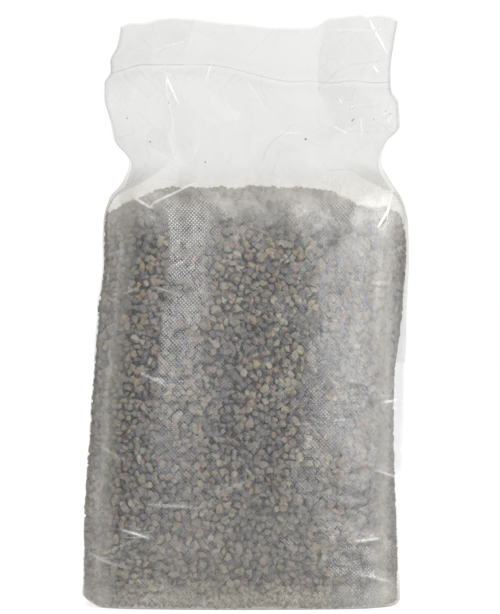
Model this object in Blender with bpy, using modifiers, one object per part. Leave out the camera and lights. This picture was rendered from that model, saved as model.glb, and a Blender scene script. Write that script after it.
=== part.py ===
"""Clear side-gusseted film bag, filled with volcanic gravel and closed by a thin heat seal.

The origin is at the middle of the base. X points to the right of the front panel, which faces -Y.
The film is one tube: a loft through sections that go from the filled block to the folded head.
The gravel is one solid that follows the inside of that film, with a broken surface and a heaped top.
"""

import math
import random

import bmesh
import bpy
from mathutils import Vector, noise

# The flat bag, as it is bought
PANEL_WIDTH = 0.203
GUSSET_WIDTH = 0.102
FILM_THICKNESS = 0.00015
CREASE_WIDTH = 0.0008

# The filled block
FOOT_WIDTH = 0.219
FOOT_RADIUS = 0.009
SHOULDER_WIDTH = 0.210
SHOULDER_HEIGHT = 0.258
SHOULDER_DEPTH = 0.098
LEAN = 0.0100
CORNER_RADIUS = 0.034
PANEL_BULGE = 0.006

# The slack head above the gravel
NECK_WIDTH = 0.172
NECK_HEIGHT = 0.305
NECK_DEPTH = 0.058
HEAD_WIDTH = 0.203
HEAD_HEIGHT = 0.349
HEAD_DEPTH = 0.026
GATHER_DEPTH = 0.0042
GATHERS = 3.5

# The heat seal and the free skirt above it
SEAL_WIDTH = 0.194
SEAL_HEIGHT = 0.3655
SEAL_THICKNESS = 0.0013
SEAL_BAND = 0.0016
SEAL_DROP = 0.0120
SKIRT_HEIGHT = 0.0385
SKIRT_WIDTH = 0.190
SKIRT_DEPTH = 0.014
CUT_WAVE = 0.0030
VENT_DIAMETER = 0.0025
VENT_SIDE = 0.073
VENT_BELOW_SEAL = 0.0175

# The gravel
FILL_HEIGHT = 0.2695
HEAP_RISE = 0.014
HEAP_LEVEL_WIDTH = 0.090
HEAP_SLOPE_WIDTH = 0.052
FILL_CLEARANCE = 0.0003
SHOULDER_GAP = 0.0026
GRAIN_PITCH = 0.0071
GRAIN_RELIEF = 0.0042

# How finely the loft is divided
PANEL_STEPS = 10
GUSSET_STEPS = 4
BLOCK_ROWS = 7
HEAP_RINGS = 5

GIRTH_QUARTER = (PANEL_WIDTH + GUSSET_WIDTH) / 2
# Creases take up this share of the girth, and the rest sets the depth that goes with the foot's width
CREASED_SHARE = 0.02
TIGHT_QUARTER = GIRTH_QUARTER * (1 - CREASED_SHARE)
FOOT_DEPTH = 2 * TIGHT_QUARTER - FOOT_WIDTH + (4 - math.pi) * CORNER_RADIUS + 2 * PANEL_BULGE


class Station:
    """One section of the film: its place, its outer size and how far the gussets are folded in."""

    def __init__(self, height, width, shift, depth, fold):
        self.height = height
        self.width = width
        self.shift = shift
        self.depth = depth
        self.fold = fold

    def values(self):
        return (self.width, self.shift, self.depth, self.fold)


def stations():
    """The sections that shape the film, from the foot to the cut edge."""
    between = (SHOULDER_HEIGHT + NECK_HEIGHT) / 2
    flare = (NECK_HEIGHT + HEAD_HEIGHT) / 2
    seal_half = SEAL_BAND / 2
    return (
        Station(0, FOOT_WIDTH, -0.3 * LEAN, FOOT_DEPTH, 0),
        Station(0.22 * SHOULDER_HEIGHT, FOOT_WIDTH, -0.25 * LEAN, FOOT_DEPTH, 0),
        Station(0.80 * SHOULDER_HEIGHT, (FOOT_WIDTH + SHOULDER_WIDTH) / 2, 0.5 * LEAN,
                (FOOT_DEPTH + SHOULDER_DEPTH) / 2, 0),
        Station(SHOULDER_HEIGHT, SHOULDER_WIDTH, 0.7 * LEAN, SHOULDER_DEPTH, 0.08),
        Station(between, mix(NECK_WIDTH, SHOULDER_WIDTH, 0.70), 0.7 * LEAN,
                (SHOULDER_DEPTH + NECK_DEPTH) / 2, 0.36),
        Station(NECK_HEIGHT, NECK_WIDTH, 0.65 * LEAN, NECK_DEPTH, 0.62),
        Station(flare, mix(NECK_WIDTH, HEAD_WIDTH, 0.78), 0.5 * LEAN,
                (NECK_DEPTH + HEAD_DEPTH) / 2, 0.84),
        Station(HEAD_HEIGHT, HEAD_WIDTH, 0.35 * LEAN, HEAD_DEPTH, 1),
        Station(SEAL_HEIGHT - seal_half, SEAL_WIDTH, 0.3 * LEAN, SEAL_THICKNESS, 1),
        Station(SEAL_HEIGHT + seal_half, SEAL_WIDTH, 0.3 * LEAN, SEAL_THICKNESS, 1),
        Station(SEAL_HEIGHT + SKIRT_HEIGHT, SKIRT_WIDTH, LEAN, SKIRT_DEPTH, 1),
    )


def smooth(t):
    """Eases from 0 to 1."""
    t = min(max(t, 0.0), 1.0)
    return t * t * (3 - 2 * t)


def mix(a, b, t):
    return a + (b - a) * t


def eased_slopes(heights, values):
    """Slopes at the stations, flat at each turn, so that a curve through them never overshoots."""
    steps = [(b - a) / (k - h) for a, b, h, k in zip(values, values[1:], heights, heights[1:])]
    inner = [2 * a * b / (a + b) if a * b > 0 else 0.0 for a, b in zip(steps, steps[1:])]
    return [steps[0]] + inner + [steps[-1]]


def station_values(height):
    """Width, shift, depth and fold at a height, on curves through the stations."""
    shapes = stations()
    heights = [s.height for s in shapes]
    last = max(i for i in range(len(shapes) - 1) if heights[i] <= height + 1e-9)
    span = heights[last + 1] - heights[last]
    t = (height - heights[last]) / span
    found = []
    for values in zip(*(s.values() for s in shapes)):
        slopes = eased_slopes(heights, values)
        ease = t * t * (3 - 2 * t)
        bend = t * (1 - t) * span * ((1 - t) * slopes[last] - t * slopes[last + 1])
        found.append(mix(values[last], values[last + 1], ease) + bend)
    return found


def quarter_positions():
    """Places along a quarter of the girth, with a narrow strip at each crease."""
    edge = PANEL_WIDTH / 2
    half = CREASE_WIDTH / 2
    panel = [(edge - half) * i / PANEL_STEPS for i in range(PANEL_STEPS + 1)]
    start, end = edge + half, GIRTH_QUARTER - half
    gusset = [mix(start, end, i / GUSSET_STEPS) for i in range(GUSSET_STEPS + 1)]
    return panel + gusset


def filled_point(place, width, depth):
    """A point of a rounded rectangle with a bulging panel, in the quarter where X and depth are positive."""
    bulge = min(PANEL_BULGE, 0.1 * depth)
    radius = min(CORNER_RADIUS, 0.48 * width, 0.48 * depth - bulge)
    centre_x, centre_y = width / 2 - radius, depth / 2 - bulge - radius
    swing = 2 * math.atan(bulge / centre_x)
    panel_radius = radius + centre_x / math.sin(swing)
    panel, corner = panel_radius * swing, radius * (math.pi / 2 - swing)
    run = place / GIRTH_QUARTER * (panel + corner + centre_y)
    if run < panel:
        angle = run / panel_radius
        return panel_radius * math.sin(angle), depth / 2 - panel_radius * (1 - math.cos(angle))
    if run < panel + corner:
        angle = swing + (run - panel) / radius
        return centre_x + radius * math.sin(angle), centre_y + radius * math.cos(angle)
    return width / 2, centre_y - (run - panel - corner)


def folded_point(place, width, depth):
    """The same point with the gusset folded in between the panels."""
    edge = PANEL_WIDTH / 2
    if place < edge:
        return place / edge * width / 2, depth / 2
    along = (place - edge) / (GIRTH_QUARTER - edge)
    return width / 2 - along * GUSSET_WIDTH / 2, mix(0.72, 0.14, along) * depth / 2


def quarter_section(height):
    """A quarter of the section at a height, scaled to the width and depth it must have."""
    width, shift, depth, fold = station_values(height)
    points = []
    for place in quarter_positions():
        full = filled_point(place, width, max(depth, 2 * FILM_THICKNESS))
        flat = folded_point(place, width, depth)
        points.append((mix(full[0], flat[0], fold), mix(full[1], flat[1], fold)))
    widest = max(p[0] for p in points)
    deepest = max(p[1] for p in points)
    return [(p[0] / widest * width / 2, p[1] / deepest * depth / 2) for p in points], shift


def ring(height):
    """The closed section at a height, in order round the bag from the middle of the front."""
    quarter, shift = quarter_section(height)
    front_right = [(x, -y) for x, y in quarter]
    back_right = [(x, y) for x, y in reversed(quarter)]
    back_left = [(-x, y) for x, y in quarter[1:]]
    front_left = [(-x, -y) for x, y in reversed(quarter[1:])]
    return [Vector((x + shift, y, height)) for x, y in front_right + back_right + back_left + front_left]


def seal_height(x):
    """The seal dips to the right, and a little at its left end."""
    dip = SEAL_DROP * smooth((x + 0.16 * SEAL_WIDTH) / (0.34 * SEAL_WIDTH))
    end = 0.45 * SEAL_DROP * smooth((-x - 0.36 * SEAL_WIDTH) / (0.14 * SEAL_WIDTH))
    return SEAL_HEIGHT + 0.6 * SEAL_DROP - dip - end


def cut_height(x):
    """The cut edge of the skirt is wavy."""
    wave = math.cos(2 * math.pi * (x / SKIRT_WIDTH + 0.22) * 1.55)
    return SEAL_HEIGHT + SKIRT_HEIGHT + CUT_WAVE * wave * (1 if x > 0 else 0.5)


def lifted(point):
    """Raises a point of the head so that its rows follow the seal, and then the cut edge."""
    if point.z <= NECK_HEIGHT:
        return point.z
    if point.z <= SEAL_HEIGHT:
        t = smooth((point.z - NECK_HEIGHT) / (SEAL_HEIGHT - SEAL_BAND / 2 - NECK_HEIGHT))
        return point.z + t * (seal_height(point.x) - SEAL_HEIGHT)
    t = smooth((point.z - SEAL_HEIGHT - SEAL_BAND / 2) / (SKIRT_HEIGHT - SEAL_BAND / 2))
    low = seal_height(point.x) - SEAL_HEIGHT
    high = cut_height(point.x) - SEAL_HEIGHT - SKIRT_HEIGHT
    return point.z + mix(low, high, t)


def gathered(point, shift, width, depth):
    """How far a point of a panel moves in or out: soft gathers in the head, slight dents in the block."""
    across = (point.x - shift) / (width / 2)
    free = max(0.0, 1 - abs(across))
    head = smooth((point.z - 0.9 * SHOULDER_HEIGHT) / (NECK_HEIGHT - 0.9 * SHOULDER_HEIGHT))
    head *= 1 - smooth((point.z - NECK_HEIGHT) / (SEAL_HEIGHT - NECK_HEIGHT))
    side = 0.0 if point.y < 0 else 1.3
    wave = math.cos(math.pi * GATHERS * across + side + 14 * point.z)
    dent = noise.noise(Vector((point.x * 22, point.y * 22, point.z * 30)))
    move = GATHER_DEPTH * wave * head * min(1.0, 2.4 * free)
    move += GATHER_DEPTH * 0.25 * dent * (1 - head) * smooth(depth / SHOULDER_DEPTH) * min(1.0, 4 * free)
    return move * min(1.0, depth / NECK_DEPTH)


def row_heights():
    """Heights of the film's rows from the foot to the cut edge."""
    block = [mix(FOOT_RADIUS, SHOULDER_HEIGHT, i / BLOCK_ROWS) for i in range(BLOCK_ROWS + 1)]
    slope = [mix(SHOULDER_HEIGHT, NECK_HEIGHT, i / 5) for i in range(1, 6)]
    head = [mix(NECK_HEIGHT, HEAD_HEIGHT, i / 4) for i in range(1, 5)]
    low, high = SEAL_HEIGHT - SEAL_BAND / 2, SEAL_HEIGHT + SEAL_BAND / 2
    seal = [mix(HEAD_HEIGHT, low, 0.5), low, high]
    skirt = [mix(high, SEAL_HEIGHT + SKIRT_HEIGHT, i / 4) for i in range(1, 5)]
    return block + slope + head + seal + skirt


def foot_rings(inset, floor):
    """Two rings that round the foot over from the wall to the flat base."""
    rings = []
    for angle in (math.pi / 2, math.pi / 5):
        pull = FOOT_RADIUS * math.sin(angle) ** 2 + inset
        level = mix(floor, FOOT_RADIUS, 1 - math.sin(angle))
        rings.append([Vector((p.x, p.y, level)) for p in drawn_in(ring(FOOT_RADIUS), pull)])
    return rings


def outward(points, i):
    """The level direction that points out of a ring at one of its points."""
    along = points[(i + 1) % len(points)] - points[i - 1]
    return Vector((along.y, -along.x, 0)).normalized()


def drawn_in(points, pull):
    """A ring moved inwards by the same distance all round."""
    return [p - outward(points, i) * pull for i, p in enumerate(points)]


def film_rings():
    """All rings of the film's middle surface."""
    rings = foot_rings(0, FILM_THICKNESS / 2)
    for height in row_heights():
        width, shift, depth, _ = station_values(height)
        row = []
        for point in ring(height):
            inward = -1 if point.y > 0 else 1
            placed = point + Vector((0, inward * gathered(point, shift, width, depth), 0))
            placed.z = lifted(point)
            row.append(placed)
        rings.append(row)
    return rings


def fill_columns(film):
    """The film's columns that the gravel follows: one of each pair at the panels' edges."""
    doubled = PANEL_STEPS + 1
    quarter = doubled + GUSSET_STEPS
    half = 2 * quarter
    skipped = {doubled, half - doubled, half + doubled, 2 * half - doubled}
    return [[row[i] for i in range(len(row)) if i not in skipped] for row in film]


def rim_height(x):
    """The gravel lies level in the middle and falls off towards its sides, and its edge is uneven."""
    fall = HEAP_RISE * smooth((abs(x) - HEAP_LEVEL_WIDTH / 2) / HEAP_SLOPE_WIDTH)
    uneven = GRAIN_RELIEF / 2 * noise.noise(Vector((x / GRAIN_PITCH, 0, 0)))
    return FILL_HEIGHT + HEAP_RISE - fall + uneven


def on_film(film, column, height):
    """The point of one of the film's columns at a height."""
    low, high = film[1][column], film[2][column]
    for below, above in zip(film[1:], film[2:]):
        if below[column].z <= height:
            low, high = below[column], above[column]
    t = (height - low.z) / (high.z - low.z)
    return low.lerp(high, t)


def fill_rings(film):
    """Rings of the gravel: they lie on the film's own facets, drawn in by its wall and the clearance."""
    chance = random.Random(5)
    pull = FILM_THICKNESS / 2 + FILL_CLEARANCE
    base = drawn_in(film[0], pull + FOOT_RADIUS / 3)
    rings = [[Vector((p.x, p.y, FILM_THICKNESS + FILL_CLEARANCE)) for p in base]]
    low = FOOT_RADIUS * 0.6
    count = round((FILL_HEIGHT - low) / GRAIN_PITCH)
    for step in range(count + 1):
        row = []
        for i in range(len(film[0])):
            top = rim_height(film[-1][i].x)
            shake = 0.35 * chance.uniform(-1, 1) if 0 < step < count else 0
            row.append(on_film(film, i, mix(low, top, (step + shake) / count)))
        fold = station_values(row[0].z)[3]
        row = drawn_in(row, pull + SHOULDER_GAP * min(1, 4 * fold))
        beside = [row[(i + chance.choice((-1, 1))) % len(row)] for i in range(len(row))]
        rings.append([p.lerp(q, chance.uniform(0, 0.35)) for p, q in zip(row, beside)])
    return rings


def heap_rings(rim):
    """Rings that close the gravel's top, from its edge in to a ridge along the middle."""
    chance = random.Random(6)
    half_ridge = (SHOULDER_WIDTH - SHOULDER_DEPTH) / 2
    rings = []
    for step in range(1, HEAP_RINGS + 1):
        share = step / (HEAP_RINGS + 0.6)
        ring_points = []
        for point in rim:
            ridge_x = min(max(point.x, -half_ridge), half_ridge)
            ridge = Vector((ridge_x, 0, rim_height(ridge_x) + HEAP_RISE / 4))
            shake = Vector((0, 0, chance.uniform(-1, 1) * GRAIN_RELIEF / 2))
            ring_points.append(point.lerp(ridge, share) + shake)
        rings.append(ring_points)
    return rings


def loft(mesh, rings):
    """Joins closed rings with quads and returns their vertices."""
    rows = [[mesh.verts.new(p) for p in points] for points in rings]
    for lower, upper in zip(rows, rows[1:]):
        for i in range(len(lower)):
            mesh.faces.new((lower[i - 1], lower[i], upper[i], upper[i - 1]))
    return rows


def broken(mesh, rows):
    """Sinks the gravel's vertices by chance, so that its faces look like broken stone."""
    chance = random.Random(7)
    mesh.normal_update()
    sunk = [(vert, vert.normal * GRAIN_RELIEF * chance.uniform(0.2, 1)) for row in rows for vert in row]
    for vert, depth in sunk:
        vert.co -= depth


def object_from(mesh, name, material, collection):
    data = bpy.data.meshes.new(name)
    mesh.to_mesh(data)
    mesh.free()
    data.materials.append(material)
    made = bpy.data.objects.new(name, data)
    collection.objects.link(made)
    return made


def plain_material(name, colour, roughness, alpha=1.0):
    material = bpy.data.materials.new(name)
    material.use_nodes = True
    shader = material.node_tree.nodes["Principled BSDF"]
    shader.inputs["Base Color"].default_value = (*colour, 1)
    shader.inputs["Roughness"].default_value = roughness
    shader.inputs["Alpha"].default_value = alpha
    return material


def hide_cutter(cutter, collection):
    """Keeps a cutter out of the model and out of the render."""
    for owner in cutter.users_collection:
        owner.objects.unlink(cutter)
    collection.objects.link(cutter)
    cutter.display_type = "WIRE"
    cutter.hide_render = True


def seal_bar(cutters):
    """The weld: a thin bar along the seal, which joins every layer of the film between its faces."""
    bar = bmesh.new()
    steps = 2 * PANEL_STEPS
    _, shift, _, _ = station_values(SEAL_HEIGHT)
    reach = SEAL_WIDTH / 2 - 2 * CREASE_WIDTH
    half = SEAL_THICKNESS / 2
    sections = []
    for i in range(steps + 1):
        x = shift + mix(-reach, reach, i / steps)
        middle = seal_height(x)
        low, high = middle - SEAL_BAND / 4, middle + SEAL_BAND / 4
        corners = ((-half, low), (half, low), (half, high), (-half, high))
        sections.append([bar.verts.new((x, y, z)) for y, z in corners])
    for left, right in zip(sections, sections[1:]):
        for i in range(4):
            bar.faces.new((left[i], right[i], right[i - 3], left[i - 3]))
    bar.faces.new(sections[0])
    bar.faces.new(sections[-1])
    bmesh.ops.recalc_face_normals(bar, faces=bar.faces)
    data = bpy.data.meshes.new("seal_bar")
    bar.to_mesh(data)
    bar.free()
    made = bpy.data.objects.new("seal_bar", data)
    cutters.objects.link(made)
    hide_cutter(made, cutters)
    return made


def vent_punch(cutters):
    """The punch for the small vent hole in the front panel, just below the seal."""
    height = seal_height(VENT_SIDE) - VENT_BELOW_SEAL
    bpy.ops.mesh.primitive_cylinder_add(
        vertices=12,
        radius=VENT_DIAMETER / 2,
        depth=HEAD_DEPTH,
        location=(VENT_SIDE, -HEAD_DEPTH / 2, height),
        rotation=(math.pi / 2, 0, 0),
    )
    punch = bpy.context.object
    punch.name = "vent_punch"
    hide_cutter(punch, cutters)
    return punch


def cut_or_join(made, tool, operation):
    step = made.modifiers.new(tool.name, "BOOLEAN")
    step.operation = operation
    step.solver = "EXACT"
    step.object = tool


def film_bag(film, bag, cutters):
    """The film: one tube with a closed base, welded across at the seal and open above it."""
    mesh = bmesh.new()
    rows = loft(mesh, film)
    mesh.faces.new(reversed(rows[0]))
    bmesh.ops.recalc_face_normals(mesh, faces=mesh.faces)
    film_look = plain_material("clear_film", (0.86, 0.86, 0.84), 0.22, 0.32)
    made = object_from(mesh, "film_bag", film_look, bag)
    made.data.shade_smooth()
    wall = made.modifiers.new("film_wall", "SOLIDIFY")
    wall.thickness = FILM_THICKNESS
    wall.offset = 0
    cut_or_join(made, seal_bar(cutters), "UNION")
    cut_or_join(made, vent_punch(cutters), "DIFFERENCE")
    return made


def rock_fill(film, bag):
    """The gravel, fused into one solid that fills the block and is heaped at the top."""
    mesh = bmesh.new()
    rings = fill_rings(fill_columns(film))
    rows = loft(mesh, rings + heap_rings(rings[-1]))
    mesh.faces.new(reversed(rows[0]))
    mesh.faces.new(rows[-1])
    bmesh.ops.recalc_face_normals(mesh, faces=mesh.faces)
    broken(mesh, rows[1:])
    bmesh.ops.triangulate(mesh, faces=mesh.faces, quad_method="SHORT_EDGE")
    rock_look = plain_material("volcanic_rock", (0.20, 0.185, 0.165), 0.9)
    return object_from(mesh, "rock_fill", rock_look, bag)


def build():
    for old in list(bpy.data.objects):
        bpy.data.objects.remove(old, do_unlink=True)
    bag = bpy.data.collections.new("bag_of_volcanic_rock")
    cutters = bpy.data.collections.new("cutters")
    bpy.context.scene.collection.children.link(bag)
    bpy.context.scene.collection.children.link(cutters)
    film = film_rings()
    film_bag(film, bag, cutters)
    rock_fill(film, bag)


build()
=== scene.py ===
import math
import random

import bmesh
import bpy
import numpy as np
from mathutils import Matrix, Quaternion, Vector, noise


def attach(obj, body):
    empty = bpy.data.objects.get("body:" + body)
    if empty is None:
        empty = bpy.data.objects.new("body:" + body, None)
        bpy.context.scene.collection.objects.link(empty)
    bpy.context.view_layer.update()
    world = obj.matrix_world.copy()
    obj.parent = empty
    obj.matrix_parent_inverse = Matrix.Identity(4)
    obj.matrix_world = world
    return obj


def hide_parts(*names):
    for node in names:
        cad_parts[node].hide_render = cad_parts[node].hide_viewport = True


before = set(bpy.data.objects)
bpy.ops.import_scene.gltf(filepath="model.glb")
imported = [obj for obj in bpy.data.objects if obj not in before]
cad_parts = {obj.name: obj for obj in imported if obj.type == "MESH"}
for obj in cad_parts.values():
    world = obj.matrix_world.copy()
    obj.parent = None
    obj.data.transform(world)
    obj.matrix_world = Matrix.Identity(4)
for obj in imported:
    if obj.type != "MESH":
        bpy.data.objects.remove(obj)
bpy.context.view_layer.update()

# The film bag. It is one side-gusseted tube of clear polyethylene, finely embossed on its outside and
# milky where it is folded. The base and the head are welded across, and above the head weld the cut
# film stands free as a wavy skirt. The sheet is laid out flat and every point is then put in its place.

PANEL_WIDTH = 0.203
GUSSET_WIDTH = 0.102
GIRTH = 2 * (PANEL_WIDTH + GUSSET_WIDTH)
SEAL_HEIGHT = 0.3655
TOP_HEIGHT = 0.404
NECK_HEIGHT = 0.305
BASE_REACH = 0.056
FOOT_RADIUS = 0.005
CORNER_RADIUS = 0.042
PANEL_BULGE = 0.006
FILM_STEP = 0.0020
FOLD_REACH = 0.0045

# Height, left edge, right edge, depth, and how far the gussets are folded in
STATIONS = np.array((
    (0.000, -0.1125, 0.1063, 0.120, 0.00),
    (0.050, -0.1125, 0.1066, 0.120, 0.00),
    (0.115, -0.1083, 0.1083, 0.118, 0.00),
    (0.198, -0.1028, 0.1111, 0.109, 0.00),
    (0.240, -0.0987, 0.1125, 0.102, 0.02),
    (0.264, -0.0980, 0.1118, 0.091, 0.08),
    (0.280, -0.0935, 0.1070, 0.083, 0.22),
    (0.291, -0.0842, 0.0987, 0.073, 0.42),
    (0.305, -0.0800, 0.0925, 0.058, 0.62),
    (0.3195, -0.0905, 0.0966, 0.045, 0.76),
    (0.331, -0.0930, 0.1060, 0.034, 0.88),
    (0.350, -0.0978, 0.1049, 0.0165, 1.00),
    (0.3585, -0.0978, 0.1005, 0.0080, 1.00),
    (0.3647, -0.0940, 0.1000, 0.0010, 1.00),
    (0.3663, -0.0935, 0.1000, 0.0010, 1.00),
    (0.374, -0.0938, 0.1000, 0.006, 1.00),
    (0.388, -0.0890, 0.1021, 0.011, 1.00),
    (0.404, -0.0865, 0.1049, 0.014, 1.00),
))


def along_stations(level):
    """Left edge, right edge, depth and fold at each level, on curves that never overshoot."""
    heights, values = STATIONS[:, 0], STATIONS[:, 1:]
    gaps = np.diff(heights)[:, None]
    steps = np.diff(values, axis=0) / gaps
    turning = steps[:-1] * steps[1:] <= 0
    inner = np.where(turning, 0, 2 * steps[:-1] * steps[1:] / np.where(turning, 1, steps[:-1] + steps[1:]))
    slopes = np.vstack((steps[:1], inner, steps[-1:]))
    at = np.clip(np.searchsorted(heights, level, side="right") - 1, 0, len(gaps) - 1)
    t = ((np.clip(level, 0, heights[-1]) - heights[at]) / gaps[at, 0])[:, None]
    ease = t * t * (3 - 2 * t)
    bend = t * (1 - t) * gaps[at] * ((1 - t) * slopes[at] - t * slopes[at + 1])
    return (values[at] * (1 - ease) + values[at + 1] * ease + bend).T


def smooth(t):
    t = np.clip(t, 0, 1)
    return t * t * (3 - 2 * t)


def seal_line(x):
    """The head weld dips to the right, and a little at its left end."""
    dip = 0.0120 * smooth((x + 0.030) / 0.066)
    end = 0.0060 * smooth((-x - 0.070) / 0.026)
    ripple = 0.0007 * np.sin(x * 190) * smooth((x - 0.02) / 0.03)
    return 0.0074 - dip - end + ripple


# The cut edge of the skirt: places across, and how far it stands above or below its mean height
CUT_PLACES = (-0.095, -0.087, -0.081, -0.070, -0.060, -0.051, -0.037, -0.026, -0.015, -0.004, 0.007, 0.018,
              0.045, 0.050, 0.057, 0.067, 0.079, 0.084, 0.090, 0.100, 0.106)
CUT_RISES = (-0.0085, -0.0057, -0.0030, -0.0030, -0.0002, 0.0005, -0.0002, -0.0016, -0.0030, -0.0037,
             -0.0051, -0.0064, -0.0064, -0.0044, 0.0004, 0.0012, 0.0026, 0.0012, 0.0026, 0.0014, -0.0022)


def folded_film(places, levels):
    """Puts the flat sheet's points in place: places run round the girth, levels up the bag."""
    left, right, depth, fold = (v[:, None] for v in along_stations(levels))
    width, middle = right - left, (left + right) / 2
    around = places[None, :]
    quarter = GIRTH / 4
    run = np.where(np.abs(around) > quarter, GIRTH / 2 - np.abs(around), np.abs(around))
    side, back = np.sign(around), np.abs(around) > quarter

    bulge = np.minimum(PANEL_BULGE, 0.1 * depth)
    radius = np.minimum(CORNER_RADIUS, 0.48 * depth - bulge)
    centre_x, centre_y = width / 2 - radius, depth / 2 - bulge - radius
    swing = 2 * np.arctan(bulge / centre_x)
    wide_radius = radius + centre_x / np.sin(swing)
    panel, corner = wide_radius * swing, radius * (math.pi / 2 - swing)
    length = run / quarter * (panel + corner + centre_y)
    slow, quick = length / wide_radius, swing + (length - panel) / radius
    over_x = np.where(length < panel, wide_radius * np.sin(slow), centre_x + radius * np.sin(quick))
    panel_y = depth / 2 - wide_radius * (1 - np.cos(slow))
    over_y = np.where(length < panel, panel_y, centre_y + radius * np.cos(quick))
    past = length - panel - corner
    full_x = np.where(past < 0, over_x, width / 2)
    full_y = np.where(past < 0, over_y, centre_y - past)

    edge = PANEL_WIDTH / 2
    beyond = run - edge
    flat_x = width / 2 - np.where(beyond < 0, -beyond * width / PANEL_WIDTH, beyond)
    inner = np.clip(beyond / (quarter - edge), 0, 1)
    flat_y = np.where(beyond < 0, 1 - 0.12 * (run / edge) ** 6, 0.88 * (1 - inner) + 0.04) * depth / 2

    x = full_x + (flat_x - full_x) * fold
    y = full_y + (flat_y - full_y) * fold
    x *= width / 2 / x.max(axis=1, keepdims=True)
    y *= depth / 2 / y.max(axis=1, keepdims=True)
    x = x * side + middle
    y = np.where(back, y, -y)

    foot = np.clip(levels[:, None] / FOOT_RADIUS, 0, 1) * math.pi / 2
    lift = np.clip(levels[:, None], FOOT_RADIUS, None) - FOOT_RADIUS * np.cos(foot)
    inset = FOOT_RADIUS * (1 - np.sin(foot))
    x = middle + (x - middle) * (1 - inset / (width / 2))
    y = y * (1 - inset / (depth / 2))
    under = np.clip(1 + levels[:, None] / BASE_REACH, 0, 1)
    y = y * under
    head = smooth((levels[:, None] - NECK_HEIGHT) / (SEAL_HEIGHT - NECK_HEIGHT))
    skirt = smooth((levels[:, None] - SEAL_HEIGHT - 0.002) / (TOP_HEIGHT - SEAL_HEIGHT - 0.002))
    lift = lift + head * (1 - skirt) * seal_line(x) + skirt * np.interp(x, CUT_PLACES, CUT_RISES)
    lift = lift + 0.004 * smooth((-x - 0.097) / 0.015) * (1 - smooth(levels[:, None] / 0.022))
    return np.stack((x, y, lift), axis=-1)


def outward(points):
    """Unit normals of the sheet, from its neighbours round and up."""
    round_way = np.gradient(points, axis=1)
    up_way = np.gradient(points, axis=0)
    normals = np.cross(round_way, up_way)
    return normals / np.maximum(np.linalg.norm(normals, axis=-1, keepdims=True), 1e-12)


class Crease:
    """A straight fold in the film: a ridge along a line, painted white where it is sharp, as
    stress-whitening and as a painted highlight, fading at both ends.
    """

    def __init__(self, start, end, width, height, white):
        self.start = np.array(start)
        self.along = np.subtract(end, start)
        self.width = width
        self.height = height
        self.white = white

    def at(self, x, z):
        """The ridge's height at each point, how far the point is off the line, and how white it is."""
        length = np.hypot(*self.along)
        from_x, from_z = x - self.start[0], z - self.start[1]
        t = (from_x * self.along[0] + from_z * self.along[1]) / length ** 2
        off = (from_x * self.along[1] - from_z * self.along[0]) / length
        beyond = np.clip(np.abs(t - 0.5) - 0.5, 0, None) * length
        fade = np.clip(4 * t * (1 - t), 0, 1) ** 0.5
        ridge = self.height * fade * np.clip(1 - np.hypot(off, beyond) / self.width, 0, 1) ** 1.4
        return ridge, off, self.white * fade


# Folds in the front panel: start and end as x and z, half width, height, and how white the film is painted
# there: stress-whitening in the head, painted highlights of the crinkles lower down
FRONT_FOLDS = (
    ((-0.058, 0.371), (-0.046, 0.343), 0.0024, 0.0006, 0.9),
    ((-0.056, 0.331), (-0.047, 0.302), 0.0050, 0.0008, 0.35),
    ((-0.023, 0.378), (-0.028, 0.360), 0.0022, 0.0006, 0.6),
    ((-0.002, 0.367), (0.015, 0.338), 0.0026, 0.0008, 0.35),
    ((-0.010, 0.402), (-0.004, 0.386), 0.0040, 0.0006, 0.1),
    ((0.084, 0.405), (0.098, 0.379), 0.0022, 0.0008, 0.9),
    ((0.087, 0.373), (0.092, 0.366), 0.0020, 0.0006, 0.9),
    ((0.059, 0.330), (0.070, 0.323), 0.0020, 0.0007, 0.8),
    ((0.064, 0.350), (0.066, 0.345), 0.0018, 0.0006, 0.8),
    ((0.079, 0.338), (0.080, 0.321), 0.0018, 0.0005, 0.5),
    ((0.102, 0.340), (0.096, 0.330), 0.0020, 0.0006, 0.5),
    ((0.101, 0.278), (0.089, 0.258), 0.0026, 0.0012, 0.9),
    ((-0.076, 0.279), (-0.064, 0.272), 0.0060, 0.0016, 0.7),
    ((-0.073, 0.161), (-0.052, 0.151), 0.0026, 0.0010, 0.8),
    ((0.066, 0.156), (0.084, 0.152), 0.0026, 0.0008, 0.3),
    ((-0.086, 0.055), (-0.064, 0.048), 0.0034, 0.0014, 0.9),
    ((-0.106, 0.064), (-0.088, 0.056), 0.0036, -0.0014, 0.2),
    ((0.074, 0.046), (0.092, 0.048), 0.0026, 0.0010, 0.6),
    ((-0.110, 0.206), (-0.070, 0.200), 0.0050, -0.0012, 0),
    ((-0.108, 0.156), (-0.068, 0.144), 0.0060, -0.0014, 0),
    ((0.085, 0.024), (0.104, 0.010), 0.0050, 0.0014, 0.4),
)


def small_crumples(chance):
    """Short creases all over the sheet, in its own places and levels. They lie level in the filled part."""
    found = []
    for _ in range(230):
        low = chance.random() < 0.45
        across = chance.uniform(-GIRTH / 2, GIRTH / 2)
        level = chance.uniform(0.0, 0.25) if low else chance.uniform(0.25, 0.40)
        turn = chance.uniform(-0.5, 0.5) if low else chance.uniform(0, math.pi)
        reach = chance.uniform(0.006, 0.022)
        arm_x, arm_z = math.cos(turn) * reach, math.sin(turn) * reach
        height = chance.choice((-1, 1)) * chance.uniform(0.0002, 0.0006)
        white = chance.uniform(0.15, 0.6) if chance.random() < 0.3 else 0
        ends = (across - arm_x, level - arm_z), (across + arm_x, level + arm_z)
        found.append(Crease(*ends, chance.uniform(0.002, 0.007), height, white))
    return found


def uneven_film(across, level):
    """Broad and fine unevenness of the film at one place of the sheet."""
    broad = noise.noise(Vector((across * 28, level * 34, 0.5)))
    fine = noise.noise(Vector((across * 90, level * 70, 4)))
    return broad + 0.45 * fine


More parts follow.
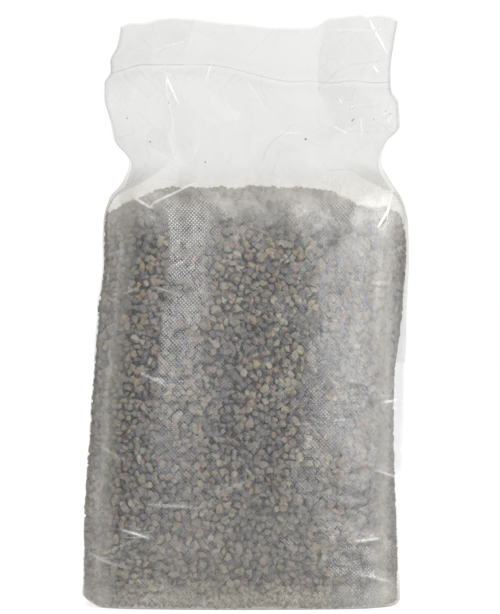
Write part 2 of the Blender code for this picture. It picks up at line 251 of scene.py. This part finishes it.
def film_relief(points, places, levels):
    """How far the film stands out of its even form, and two marks of the nearest white crease, whose white
    is partly a painted highlight.
    """
    x, y, z = points[..., 0], points[..., 1], points[..., 2]
    level = levels[:, None]
    across = places[None, :] + 0 * level
    front = np.abs(across) < PANEL_WIDTH / 2
    back = np.abs(across) > (GIRTH - PANEL_WIDTH) / 2
    panel = np.where(back, GIRTH / 2 - np.abs(across), np.abs(across)) / (PANEL_WIDTH / 2)
    free = np.clip(1 - panel, 0, 1)
    slack = smooth((level - 0.235) / 0.05) * (1 - smooth((level - 0.33) / (SEAL_HEIGHT - 0.33)))
    wave = np.cos(3.6 * math.pi * panel * np.sign(across) + np.where(back, 1.3, 0) + 14 * z)
    relief = 0.0015 * wave * slack * np.clip(2.4 * free, 0, 1)
    fold_off, fold_white_and_highlight = np.full_like(relief, FOLD_REACH), np.zeros_like(relief)
    on_panel = [(Crease(*fold), x, z, front) for fold in FRONT_FOLDS]
    on_sheet = [(fold, across, level, True) for fold in small_crumples(random.Random(11))]
    for fold, at_x, at_z, where in on_panel + on_sheet:
        ridge, off, white = fold.at(at_x, at_z)
        relief += np.where(where, ridge, 0)
        nearer = where & (white > 0) & (np.abs(off) < np.abs(fold_off))
        fold_off = np.where(nearer, off, fold_off)
        fold_white_and_highlight = np.where(nearer, white, fold_white_and_highlight)
    rough = np.array([[uneven_film(a, h) for a in places] for h in levels])
    relief += (0.0008 - 0.0003 * smooth((level - 0.25) / 0.05)) * rough
    relief *= np.clip(np.abs(level - SEAL_HEIGHT) / 0.006, 0.05, 1) * smooth((level + 0.002) / 0.010)
    return relief * np.clip(2.2 * np.abs(y) / 0.012, 0.15, 1), fold_off, fold_white_and_highlight


across_count = round(GIRTH / FILM_STEP)
up_count = round((TOP_HEIGHT + BASE_REACH) / FILM_STEP)
places = np.linspace(-GIRTH / 2, GIRTH / 2, across_count + 1)
levels = np.linspace(-BASE_REACH, TOP_HEIGHT, up_count + 1)
film_points = folded_film(places, levels)
film_normals = outward(film_points)
relief, fold_off, fold_white_and_highlight = film_relief(film_points, places, levels)
film_points = film_points + film_normals * relief[..., None]
film_points[..., 2] = np.maximum(film_points[..., 2], 0.00008)
film_normals = outward(film_points)

sheet = bmesh.new()
bmesh.ops.create_grid(sheet, x_segments=across_count, y_segments=up_count, size=0.5)
flat_map = sheet.loops.layers.uv.new("film")
off_map = sheet.verts.layers.float.new("fold_off")
white_and_highlight_map = sheet.verts.layers.float.new("fold_white_and_highlight")
columns = {vert: round((vert.co.x + 0.5) * across_count) for vert in sheet.verts}
rows = {vert: round((vert.co.y + 0.5) * up_count) for vert in sheet.verts}
for face in sheet.faces:
    for loop in face.loops:
        loop[flat_map].uv = (places[columns[loop.vert]], levels[rows[loop.vert]])
for vert in sheet.verts:
    vert.co = film_points[rows[vert], columns[vert]]
    vert[off_map] = fold_off[rows[vert], columns[vert]]
    vert[white_and_highlight_map] = fold_white_and_highlight[rows[vert], columns[vert]]
bmesh.ops.remove_doubles(sheet, verts=sheet.verts, dist=0.00002)
film_mesh = bpy.data.meshes.new("film")
sheet.to_mesh(film_mesh)
sheet.free()
film_mesh.shade_smooth()
film = bpy.data.objects.new("film", film_mesh)
bpy.context.scene.collection.objects.link(film)


class Wire:
    """A shader value. An expression on wires adds the Math nodes that it needs."""

    def __init__(self, finish, socket):
        self.finish = finish
        self.socket = socket

    def maths(self, operation, *others):
        values = dict(enumerate((self, *others)))
        return self.finish.node("ShaderNodeMath", {"operation": operation}, values)

    def __add__(self, other):
        return self.maths("ADD", other)

    def __sub__(self, other):
        return self.maths("SUBTRACT", other)

    def __mul__(self, other):
        return self.maths("MULTIPLY", other)

    def __rsub__(self, other):
        return self.maths("MULTIPLY_ADD", -1.0, other)

    __radd__ = __add__
    __rmul__ = __mul__


class Finish:
    """A material: its Principled shader, and one way to add any other node."""

    def __init__(self, name):
        self.material = bpy.data.materials.new(name)
        self.material.use_nodes = True
        self.tree = self.material.node_tree
        self.shader = self.tree.nodes["Principled BSDF"]

    def node(self, kind, settings=None, values=None, output=0):
        made = self.tree.nodes.new(kind)
        for name, value in (settings or {}).items():
            setattr(made, name, value)
        for name, value in (values or {}).items():
            self.put(made.inputs[name], value)
        return Wire(self, made.outputs[output])

    def put(self, socket, value):
        if isinstance(value, Wire):
            self.tree.links.new(value.socket, socket)
        else:
            socket.default_value = value

    def set(self, **values):
        for name, value in values.items():
            self.put(self.shader.inputs[name.replace("_", " ")], value)

    def band(self, value, low, high):
        """0 below low, 1 above high, smooth between."""
        values = {0: value, 1: low, 2: high}
        return self.node("ShaderNodeMapRange", {"interpolation_type": "SMOOTHSTEP"}, values)

    def mixed(self, share, first, second):
        values = {0: share, 6: first, 7: second}
        return self.node("ShaderNodeMix", {"data_type": "RGBA"}, values, 2)

    def noisy(self, place, scale, detail, roughness=0.5):
        values = {"Vector": place, "Scale": scale, "Detail": detail, "Roughness": roughness}
        return self.node("ShaderNodeTexNoise", values=values)


EMBOSS_PITCH = 0.00190
EMBOSS_ANGLE = math.radians(47)
EMBOSS_HEIGHT = 0.000014
VENT = (0.073, 0.0, 0.3432)
# Colours of the film itself, of the dust on it and of its marks, with a painted sheen, painted highlights
# and a painted contact shadow
GRAVEL_HAZE = (0.205, 0.203, 0.208, 1)
HEAD_HAZE = (0.110, 0.110, 0.094, 1)
GUSSET_HAZE = (0.16, 0.155, 0.14, 1)
DARK_POWDER = (0.17, 0.155, 0.105, 1)
PALE_POWDER = (0.38, 0.345, 0.250, 1)
SIDE_SHEEN_GREY = (0.29, 0.29, 0.295, 1)
RIM_DUST = (0.42, 0.395, 0.33, 1)
FOLD_DUST = (0.27, 0.255, 0.20, 1)
DOT_HIGHLIGHT_WHITE = (0.72, 0.73, 0.75, 1)
CREASE_AND_HIGHLIGHT_WHITE = (0.80, 0.80, 0.80, 1)
MARK_AND_SHADOW_GREY = (0.10, 0.10, 0.10, 1)
clear = Finish("clear_film")
flat = clear.node("ShaderNodeUVMap", {"uv_map": "film"})
run_x = clear.node("ShaderNodeSeparateXYZ", values={0: flat}, output=0)
run_z = clear.node("ShaderNodeSeparateXYZ", values={0: flat}, output=1)
off_middle = run_x.maths("ABSOLUTE")
in_place = clear.node("ShaderNodeTexCoord", output=3)
facing = clear.node("ShaderNodeVectorMath", {"operation": "MULTIPLY"}, {0: in_place, 1: (1, 0, 1)})
on_front = 1 - clear.band(off_middle, PANEL_WIDTH / 2 - 0.001, PANEL_WIDTH / 2)
rising_x = 2 * math.pi * math.cos(EMBOSS_ANGLE) / EMBOSS_PITCH
rising_z = 2 * math.pi * math.sin(EMBOSS_ANGLE) / EMBOSS_PITCH
rising = (run_x * rising_x + run_z * rising_z).maths("SINE")
falling = (run_x * rising_x - run_z * rising_z).maths("SINE")
cloud = clear.noisy(flat, 38, 2, 0.6)
dusty = clear.noisy(flat, 90, 3, 0.7)
pressed = clear.noisy(flat, 190, 1)
specks = clear.noisy(flat, 480, 2, 0.7)
cells = clear.node("ShaderNodeTexVoronoi", {"feature": "DISTANCE_TO_EDGE"}, {"Vector": flat, "Scale": 46})
bent = clear.node("ShaderNodeVectorMath", {"operation": "MULTIPLY_ADD"},
                  {0: dusty, 1: (0.012, 0.012, 0), 2: flat})
facets = clear.node("ShaderNodeTexVoronoi", values={"Vector": bent, "Scale": 26}, output=1)
facets = clear.node("ShaderNodeSeparateXYZ", values={0: facets})
fold_off = clear.node("ShaderNodeAttribute", {"attribute_name": "fold_off"}, output=2)
fold_white_and_highlight = clear.node("ShaderNodeAttribute", {"attribute_name": "fold_white_and_highlight"}, output=2)
# White creases: stress-whitened folds, and painted highlights where the crinkles catch the lamps
sharp_fold = (1 - clear.band(fold_off.maths("ABSOLUTE"), 0.0, 0.0016)) * fold_white_and_highlight
creases_and_highlights = sharp_fold + (1 - clear.band(cells, 0.0, 0.030)) * clear.band(cloud, 0.52, 0.66) * 0.25
on_gravel = 1 - clear.band(run_z, 0.262, 0.285)
relief_height = (rising + falling) * EMBOSS_HEIGHT + pressed * on_gravel * 0.00016 + sharp_fold * 0.0002
# The raised dots are painted milky white: as painted highlights of the left and right lamps in two upright
# bands, and faintly elsewhere as the film's own milky dots
dots = clear.band(rising + falling, 0.0, 1.3)
left_highlight_band = clear.band(run_x, -0.0690, -0.0655) * (1 - clear.band(run_x, -0.046, -0.024)) * on_gravel
left_highlight_band = left_highlight_band * (0.12 + 0.88 * clear.band(run_z, 0.050, 0.235)) * clear.band(cloud, 0.26, 0.52)
right_highlight_band = clear.band(run_x, 0.030, 0.052) * (1 - clear.band(run_x, 0.078, 0.094)) * on_gravel
right_highlight_band = right_highlight_band * clear.band(run_z, 0.02, 0.16) * clear.band(cloud, 0.24, 0.54)
dots_and_painted_highlights = dots * (left_highlight_band + right_highlight_band * 0.60 + on_gravel * 0.15)
# Greyer, more opaque film on the right of the front: some dust, and a painted sheen of the right lamp
right_dust_and_sheen = clear.band(run_x, 0.040, 0.096) * (1 - clear.band(run_x, 0.098, 0.125)) * on_gravel
top_dust = clear.band(run_z, 0.225, 0.262) * on_gravel
low_dust = (1 - clear.band(run_z, 0.0, 0.130)) * clear.band(run_z, -0.05, -0.02)
foot_dust = (1 - clear.band(run_z, 0.004, 0.022)) * clear.band(run_z, -0.05, -0.02)
dust = (low_dust + right_dust_and_sheen * 0.35 + top_dust * 0.5) * clear.band(dusty, 0.15, 0.85)
dusted = clear.node("ShaderNodeMath", {"operation": "ADD", "use_clamp": True}, {0: dust, 1: foot_dust})
weld = 1 - clear.band((run_z - SEAL_HEIGHT).maths("ABSOLUTE"), 0.0002, 0.0007)
weld = weld * (1 - 0.65 * clear.band((run_x - 0.004).maths("ABSOLUTE"), 0.026, 0.046))
# A painted contact shadow: a dark line along the base fold where the bag meets the floor
painted_contact_shadow = (1 - clear.band(run_z.maths("ABSOLUTE"), 0.0006, 0.0016)) * clear.band(dusty, 0.36, 0.52)
fold_lines = 1 - clear.band((off_middle - PANEL_WIDTH / 2).maths("ABSOLUTE"), 0.0010, 0.0130)
gusset = clear.band(off_middle, PANEL_WIDTH / 2, PANEL_WIDTH / 2 + 0.004)
far_panel = GIRTH / 2 - PANEL_WIDTH / 2
gusset = gusset * (1 - clear.band(off_middle, far_panel - 0.004, far_panel))
head = clear.band(run_z, 0.262, 0.296)
rim_dust = clear.band(run_z, 0.250, 0.280) * (1 - clear.band(run_z, 0.282, 0.306))
from_vent = clear.node("ShaderNodeVectorMath", {"operation": "DISTANCE"}, {0: facing, 1: VENT}, 1)
punched = (1 - clear.band(from_vent, 0.0011, 0.0013)) * on_front
vent_rim = (1 - clear.band(from_vent, 0.0013, 0.0020)) * on_front
milk = clear.mixed(head, GRAVEL_HAZE, HEAD_HAZE)
milk = clear.mixed(gusset * on_gravel, milk, GUSSET_HAZE)
powder = clear.mixed(clear.band(specks, 0.42, 0.58), DARK_POWDER, PALE_POWDER)
milk = clear.mixed(dusted, milk, powder)
# Painted sheen of the right lamp in grey, over the dust
milk = clear.mixed(right_dust_and_sheen * 0.8, milk, SIDE_SHEEN_GREY)
milk = clear.mixed(rim_dust * 0.8, milk, RIM_DUST)
milk = clear.mixed(fold_lines * on_gravel * 0.8, milk, FOLD_DUST)
# Painted highlights of the lamps in the emboss, and the film's faint milky dots
milk = clear.mixed(dots_and_painted_highlights, milk, DOT_HIGHLIGHT_WHITE)
# Painted highlights and stress-whitening along the creases
milk = clear.mixed(creases_and_highlights, milk, CREASE_AND_HIGHLIGHT_WHITE)
# Dark marks: the weld and the vent's rim, and the painted contact shadow along the base
for mark in (weld, painted_contact_shadow, vent_rim):
    milk = clear.mixed(mark, milk, MARK_AND_SHADOW_GREY)
# How much the film hides: the film alone, then dust, painted side sheen and folded layers, then its marks,
# painted highlights and a painted contact shadow
cover = 0.12 + 0.04 * cloud + (0.015 + 0.050 * facets) * head - 0.155 * head * gusset
cover = cover + 0.20 * fold_lines * on_gravel + 0.08 * gusset * on_gravel + 0.22 * dust
cover = cover + 0.04 * right_dust_and_sheen + 0.45 * foot_dust * specks + 0.54 * rim_dust * dusty
cover = cover + 0.42 * dots_and_painted_highlights + 0.22 * weld + 0.50 * painted_contact_shadow + 0.40 * creases_and_highlights + 0.30 * vent_rim
clear.set(
    Base_Color=milk,
    Alpha=cover * (1 - punched),
    Roughness=0.46 - 0.29 * on_gravel,
    IOR=2.0,
    Specular_IOR_Level=1.0,
    Normal=clear.node("ShaderNodeBump", values={"Height": relief_height, "Strength": 1.0, "Distance": 1.0}),
)
film_mesh.materials.append(clear.material)
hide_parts("film_bag")
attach(film, "root")

# The gravel. Broken grains of volcanic rock of 3 to 6 mm, grey-beige with some green, pink and ochre
# ones, lie loose against the film and are heaped at the top. Two layers of single grains are laid on
# the inside of the film, over a dark bed that stands for the grains behind them.

GRAIN_PITCH = 0.0051
GRAIN_SIZES = (0.0046, 0.0076)
GRAIN_KINDS = 28
LAYERS = ((1.0, 0.00015, 0.0005), (1.06, 0.0030, 0.0014))
GAP_SIDE_HEIGHTS = (0.030, 0.053, 0.100, 0.126, 0.157, 0.198, 0.240, 0.255, 0.267, 0.275)
GAP_RIGHT = (0.0010, 0.0022, 0.0046, 0.0060, 0.0064, 0.0024, 0.0010, 0.0010, 0.0030, 0.0050)
NEAREST_GAP = 0.0003
LOOSE_GAP = 0.0026
TOP_GAP = 0.0030
HEAP_TOP = 0.2835
HEAP_MIDDLE = -0.004
HEAP_LEVEL = 0.045
HEAP_SLOPE = 0.052
HEAP_FALL = 0.014
HEAP_UNEVEN = 0.0035


def film_at(round_way, height, points):
    """Reads a grid of the film at places between its points."""
    column = np.clip((round_way + GIRTH / 2) / GIRTH * across_count, 0, across_count - 1e-6)
    row = np.clip((height + BASE_REACH) / (TOP_HEIGHT + BASE_REACH) * up_count, 0, up_count - 1e-6)
    i, j = row.astype(int), column.astype(int)
    a, b = (row - i)[:, None], (column - j)[:, None]
    low = points[i, j] * (1 - b) + points[i, j + 1] * b
    high = points[i + 1, j] * (1 - b) + points[i + 1, j + 1] * b
    return low * (1 - a) + high * a


def heap_height(x, y):
    """The gravel's top: highest a little left of the middle, lower at the sides."""
    fall = HEAP_FALL * smooth((np.abs(x - HEAP_MIDDLE) - HEAP_LEVEL) / HEAP_SLOPE)
    uneven = np.array([noise.noise(Vector((a * 60, b * 60, 3))) for a, b in zip(x, y)])
    return HEAP_TOP - fall + HEAP_UNEVEN * uneven


def film_gap(points):
    """How far the film stands off the grains: in soft patches, at the top and along the right side."""
    patches = np.array([noise.noise(Vector((p[0] * 46, p[1] * 46, p[2] * 40 + 9))) for p in points])
    side = np.interp(points[:, 2], GAP_SIDE_HEIGHTS, GAP_RIGHT) * smooth((points[:, 0] - 0.082) / 0.022)
    inner = 1 - smooth((np.abs(points[:, 0]) - 0.080) / 0.016)
    top = TOP_GAP * smooth((points[:, 2] - 0.252) / 0.026) * inner
    return NEAREST_GAP + LOOSE_GAP * smooth(0.35 + 1.6 * patches) * inner + side + top


def broken_grain(chance, number):
    """One grain: the hull of a few points in an uneven ball of radius 1."""
    grain = bmesh.new()
    for _ in range(chance.randint(12, 15)):
        way = Vector((chance.gauss(0, 1), chance.gauss(0, 1), chance.gauss(0, 1))).normalized()
        grain.verts.new(way * chance.uniform(0.82, 1.12))
    bmesh.ops.convex_hull(grain, input=grain.verts)
    bmesh.ops.delete(grain, geom=[v for v in grain.verts if not v.link_faces], context="VERTS")
    bmesh.ops.recalc_face_normals(grain, faces=grain.faces)
    data = bpy.data.meshes.new(f"grain_kind_{number}")
    grain.to_mesh(data)
    grain.free()
    return data


grain_chance = random.Random(3)
grain_kinds = [broken_grain(grain_chance, number) for number in range(GRAIN_KINDS)]
grain_points = [np.array([v.co[:] for v in kind.vertices]) for kind in grain_kinds]
# Colours of the grains and how common they are
GRAIN_COLOURS = (
    ((0.300, 0.270, 0.180), 7),
    ((0.220, 0.210, 0.145), 6),
    ((0.205, 0.178, 0.140), 5),
    ((0.330, 0.305, 0.235), 4),
    ((0.290, 0.200, 0.155), 3),
    ((0.310, 0.225, 0.115), 2),
    ((0.120, 0.116, 0.120), 5),
)
# The grey that stands for light scattered by the milky film in front of the deeper grains
PAINTED_HAZE_GREY = np.array((0.165, 0.158, 0.162))
colour_values = np.array([c for c, _ in GRAIN_COLOURS])
colour_shares = np.array([s for _, s in GRAIN_COLOURS], float)
colour_shares /= colour_shares.sum()


def lay_grains(name, spots, normals, sink, seed, sizes=GRAIN_SIZES):
    """Joins one grain at each spot into a piece. A grain's outermost point lies sink under the spot."""
    pick = np.random.default_rng(seed)
    count = len(spots)
    spins = pick.normal(size=(count, 4))
    radii = pick.uniform(*sizes, count) / 2
    stretches = pick.uniform(0.74, 1.16, (count, 3))
    kinds = pick.integers(0, GRAIN_KINDS, count)
    tones = colour_values[pick.choice(len(colour_values), count, p=colour_shares)]
    tones = tones * pick.uniform(0.80, 1.20, (count, 1)) * pick.uniform(0.96, 1.04, (count, 3))
    # Deeper grains are painted towards a grey haze: light scattered by the film in front of them, painted
    # into their colour
    painted_haze = (1 - np.exp(-sink / 0.0030))[:, None]
    tones = tones * (1 - painted_haze) + PAINTED_HAZE_GREY * painted_haze
    pile = bmesh.new()
    lengths = np.empty(count, int)
    for i in range(count):
        kind = grain_kinds[kinds[i]]
        shape = Quaternion(spins[i]).normalized().to_matrix() @ Matrix.Diagonal(stretches[i] * radii[i])
        reach = (grain_points[kinds[i]] @ np.array(shape).T @ normals[i]).max()
        place = Matrix.Translation(spots[i] - normals[i] * (reach + sink[i])) @ shape.to_4x4()
        kind.transform(place)
        pile.from_mesh(kind)
        kind.transform(place.inverted())
        lengths[i] = len(kind.vertices)
    mesh = bpy.data.meshes.new(name)
    pile.to_mesh(mesh)
    pile.free()
    tone_map = mesh.color_attributes.new("grain_tone", "FLOAT_COLOR", "POINT")
    spread = np.repeat(np.hstack((tones, np.ones((count, 1)))), lengths, axis=0)
    tone_map.data.foreach_set("color", spread.ravel())
    made = bpy.data.objects.new(name, mesh)
    bpy.context.scene.collection.objects.link(made)
    return made


stone = Finish("volcanic_rock")
place = stone.node("ShaderNodeTexCoord", output=3)
tone = stone.node("ShaderNodeAttribute", {"attribute_name": "grain_tone"})
pores = stone.noisy(place, 900, 4, 0.7)
patches = stone.noisy(place, 260, 2)
darker = stone.node("ShaderNodeMix", {"data_type": "RGBA", "blend_type": "MULTIPLY"},
                    {0: 1.0, 6: tone, 7: (0.55, 0.54, 0.53, 1)}, 2)
stone.set(
    Base_Color=stone.mixed(stone.band(pores * 0.7 + patches * 0.3, 0.34, 0.56), darker, tone),
    Roughness=0.88,
    Normal=stone.node("ShaderNodeBump", values={"Height": pores, "Strength": 0.7, "Distance": 0.0004}),
)


def scattered(first, second, pitch, pick):
    """Places on a shaken grid of triangles: two arrays that run over the first and the second range."""
    rows = np.arange(second[0], second[1], pitch * 0.866)
    columns = np.arange(first[0], first[1], pitch)
    a, b = np.meshgrid(columns, rows)
    a = a + (np.arange(len(rows)) % 2)[:, None] * pitch / 2
    return ((grid + pick.uniform(-0.36, 0.36, grid.shape) * pitch).ravel() for grid in (a, b))


EDGE = PANEL_WIDTH / 2 + 0.004
GRAVEL_SIDES = (
    ("gravel_front", -EDGE, EDGE),
    ("gravel_right", EDGE, GIRTH / 2 - EDGE),
    ("gravel_left", EDGE - GIRTH / 2, -EDGE),
    ("gravel_back", GIRTH / 2 - EDGE, GIRTH / 2 + EDGE),
)
gravel = []
for number, (name, start, end) in enumerate(GRAVEL_SIDES):
    pick = np.random.default_rng(50 + number)
    laid = []
    for wide, deep, loose in LAYERS:
        around, up = scattered((start, end), (0.001, 0.292), GRAIN_PITCH * wide, pick)
        around = (around + GIRTH / 2) % GIRTH - GIRTH / 2
        at = film_at(around, up, film_points)
        way = film_at(around, up, film_normals)
        way /= np.linalg.norm(way, axis=1, keepdims=True)
        keep = at[:, 2] < heap_height(at[:, 0], at[:, 1])
        sink = deep + pick.uniform(0, loose, len(at)) + film_gap(at)
        laid.append((at[keep], way[keep], sink[keep]))
    gravel.append(lay_grains(name, *(np.concatenate(part) for part in zip(*laid)), 90 + number))

# Grains of the heaped top and of the base, which the film shows from above and from below
def half_depth(x, level):
    """How deep the film is at each x, on a level section: half of it, and nothing outside the film."""
    around = np.linspace(-GIRTH / 4, GIRTH / 4, 81)
    front = film_at(around, np.full(81, level), film_points)
    return np.interp(x, front[:, 0], -front[:, 1], left=0, right=0)


pick = np.random.default_rng(70)
across, deep_way = scattered((-0.096, 0.108), (-0.046, 0.046), GRAIN_PITCH * 0.93, pick)
inside = np.abs(deep_way) < half_depth(across + np.sign(across) * 0.008, 0.276) - 0.006
across, deep_way = across[inside], deep_way[inside]
top = heap_height(across, deep_way) + 0.003 * np.cos(deep_way / 0.045 * math.pi / 2) + 0.002
up_way = np.tile((0.0, 0.0, 1.0), (len(across), 1))
gravel.append(lay_grains("gravel_top", np.stack((across, deep_way, top), axis=1), up_way,
                         pick.uniform(0, 0.003, len(across)), 71))
across, deep_way = scattered((-0.110, 0.104), (-0.056, 0.056), GRAIN_PITCH * 0.93, pick)
inside = np.abs(deep_way) < half_depth(across + np.sign(across) * 0.006, 0.0) - 0.004
across, deep_way = across[inside], deep_way[inside]
base = np.stack((across, deep_way, np.full(len(across), 0.0004)), axis=1)
down_way = np.tile((0.0, 0.0, -1.0), (len(across), 1))
gravel.append(lay_grains("gravel_base", base, down_way, pick.uniform(0, 0.001, len(across)), 81))

# Crumbs of the gravel that cling to the inside of the head: place round the girth and level
CRUMBS = ((0.068, 0.335), (0.081, 0.331), (0.069, 0.336), (0.083, 0.337), (0.092, 0.344), (0.095, 0.342),
          (-0.058, 0.341), (-0.089, 0.333), (-0.040, 0.304), (0.087, 0.276), (0.040, 0.322),
          (-0.075, 0.318))
CRUMB_SIZES = (0.0007, 0.0016)
crumb_around, crumb_up = np.array(CRUMBS).T
crumb_way = film_at(crumb_around, crumb_up, film_normals)
crumb_way /= np.linalg.norm(crumb_way, axis=1, keepdims=True)
gravel.append(lay_grains("crumbs", film_at(crumb_around, crumb_up, film_points), crumb_way,
                         np.full(len(CRUMBS), 0.0001), 83, CRUMB_SIZES))
for kind in grain_kinds:
    bpy.data.meshes.remove(kind)
for piece in gravel:
    piece.data.materials.append(stone.material)
    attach(piece, "root")

# The bed behind the grains, its rock spots with painted shade between them
BED_DEPTH = 0.0065
BED_LOW, BED_HIGH = 0.008, 0.274
BED_FLOOR = 0.006
BED_UNDER_HEAP = 0.004
BED_CAP = 0.2
bed = bmesh.new()
bmesh.ops.create_grid(bed, x_segments=96, y_segments=60, size=0.5)
for vert in bed.verts:
    around = np.array([vert.co.x * GIRTH])
    share_up = vert.co.y + 0.5
    wall_share = min(max((share_up - BED_CAP) / (1 - 2 * BED_CAP), 0), 1)
    level = np.array([BED_LOW + (BED_HIGH - BED_LOW) * wall_share])
    at = film_at(around, level, film_points)[0]
    way = film_at(around, level, film_normals)[0]
    at = at - way / np.linalg.norm(way) * (BED_DEPTH + film_gap(at[None, :])[0])
    if share_up < BED_CAP:
        shrink = share_up / BED_CAP
        at = at * np.array((shrink, shrink, 1))
        at[2] = BED_FLOOR
    elif share_up > 1 - BED_CAP:
        shrink = (1 - share_up) / BED_CAP
        at = at * np.array((shrink, shrink, 1))
        at[2] = heap_height(at[:1], at[1:2])[0] - BED_UNDER_HEAP
    vert.co = at
bmesh.ops.remove_doubles(bed, verts=bed.verts, dist=0.00002)
bmesh.ops.recalc_face_normals(bed, faces=bed.faces)
bed_mesh = bpy.data.meshes.new("gravel_bed")
bed.to_mesh(bed_mesh)
bed.free()
bed_piece = bpy.data.objects.new("gravel_bed", bed_mesh)
bpy.context.scene.collection.objects.link(bed_piece)
bed_rock = Finish("shaded_rock")
bed_place = bed_rock.node("ShaderNodeTexCoord", output=3)
bed_spots = bed_rock.node("ShaderNodeTexVoronoi", values={"Vector": bed_place, "Scale": 210})
bed_bump = {"Height": bed_spots, "Strength": 0.8, "Distance": 0.002}
# Painted shade: darker between the rock spots, as in the gaps between grains
painted_gap_shade = bed_rock.band(bed_spots, 0.1, 0.6)
bed_rock.set(
    Base_Color=bed_rock.mixed(painted_gap_shade, (0.16, 0.155, 0.15, 1), (0.05, 0.05, 0.05, 1)),
    Roughness=0.92,
    Normal=bed_rock.node("ShaderNodeBump", values=bed_bump),
)
bed_mesh.materials.append(bed_rock.material)
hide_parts("rock_fill")
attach(bed_piece, "root")

# Stage: a plain white floor, soft lamps and the camera
def shows_stage(tree):
    """1 for rays that show the stage, by eye or in a reflection, and 0 for those that light the object."""
    path = tree.nodes.new("ShaderNodeLightPath")
    shown = path.outputs["Is Camera Ray"]
    for kind in ("Is Glossy Ray", "Is Transmission Ray"):
        either = tree.nodes.new("ShaderNodeMath")
        either.operation = "MAXIMUM"
        tree.links.new(shown, either.inputs[0])
        tree.links.new(path.outputs[kind], either.inputs[1])
        shown = either.outputs[0]
    return shown


floor_mesh = bpy.data.meshes.new("floor")
ground = bmesh.new()
bmesh.ops.create_grid(ground, x_segments=1, y_segments=1, size=12)
ground.to_mesh(floor_mesh)
ground.free()
floor = bpy.data.objects.new("floor", floor_mesh)
bpy.context.scene.collection.objects.link(floor)
paper = Finish("white_paper")
paper.set(Base_Color=(0.50, 0.50, 0.50, 1), Roughness=1.0, Specular_IOR_Level=0.0)
lit = Wire(paper, shows_stage(paper.tree))
floor_place = paper.node("ShaderNodeTexCoord", output=3)
reach = paper.node("ShaderNodeVectorMath", {"operation": "LENGTH"}, {0: floor_place}, 1)
far = paper.band(reach, 0.10, 0.45)
FLOOR_GLOW, FLOOR_SHOWN, FLOOR_FAR = 0.35, 0.37, 0.26
glow = FLOOR_GLOW + lit * (FLOOR_SHOWN + FLOOR_FAR * far)
paper.set(Emission_Color=(1, 1, 1, 1), Emission_Strength=glow)
floor_mesh.materials.append(paper.material)

world = bpy.data.worlds.new("studio")
bpy.context.scene.world = world
world.use_nodes = True
sky = world.node_tree
shade = sky.nodes["Background"]
WORLD_LIGHT, WORLD_SHOWN = 0.40, 1.0
level_of_light = sky.nodes.new("ShaderNodeMapRange")
level_of_light.inputs["To Min"].default_value = WORLD_LIGHT
level_of_light.inputs["To Max"].default_value = WORLD_SHOWN
sky.links.new(shows_stage(sky), level_of_light.inputs[0])
sky.links.new(level_of_light.outputs[0], shade.inputs["Strength"])
shade.inputs["Color"].default_value = (1, 1, 1, 1)


LAMP_AIM = (0, 0, 0.2)


def softbox(name, place, width, height, power, glint=True):
    """A rectangular lamp that faces the object. It isn't seen behind the clear film, and may not glint."""
    light = bpy.data.lights.new(name, "AREA")
    light.shape = "RECTANGLE"
    light.size, light.size_y = width, height
    light.energy = power
    lamp = bpy.data.objects.new(name, light)
    lamp.location = place
    lamp.rotation_euler = (Vector(LAMP_AIM) - Vector(place)).to_track_quat("-Z", "Y").to_euler()
    lamp.visible_camera = False
    lamp.visible_glossy = glint
    bpy.context.scene.collection.objects.link(lamp)


softbox("left_light", (-0.37, -1.56, 0.57), 0.28, 1.00, 2.7)
softbox("right_light", (1.03, -1.26, 0.55), 1.62, 1.3, 22)
softbox("left_side_light", (-1.70, 0.50, 0.55), 1.4, 1.4, 8)
softbox("side_light", (1.70, 0.10, 0.55), 1.6, 1.4, 10)
softbox("top_light", (0.0, -1.0, 1.5), 1.2, 0.9, 8)
softbox("back_light", (-0.2, 1.8, 0.9), 1.5, 1.1, 12, glint=False)

camera_data = bpy.data.cameras.new("camera")
camera = bpy.data.objects.new("camera", camera_data)
bpy.context.scene.collection.objects.link(camera)
bpy.context.scene.camera = camera
FRAME_HEIGHT = 614
METRES_PER_PIXEL = 0.000692
CAMERA_DISTANCE = 2.4
SENSOR_HEIGHT = 24
camera.location = (0.0028, -CAMERA_DISTANCE, 0.200)
camera.rotation_euler = (math.pi / 2, 0, 0)
camera_data.sensor_fit = "VERTICAL"
camera_data.sensor_height = SENSOR_HEIGHT
camera_data.lens = SENSOR_HEIGHT * CAMERA_DISTANCE / (FRAME_HEIGHT * METRES_PER_PIXEL)
camera_data.shift_y = 0.012

bpy.context.scene.view_settings.view_transform = "Standard"
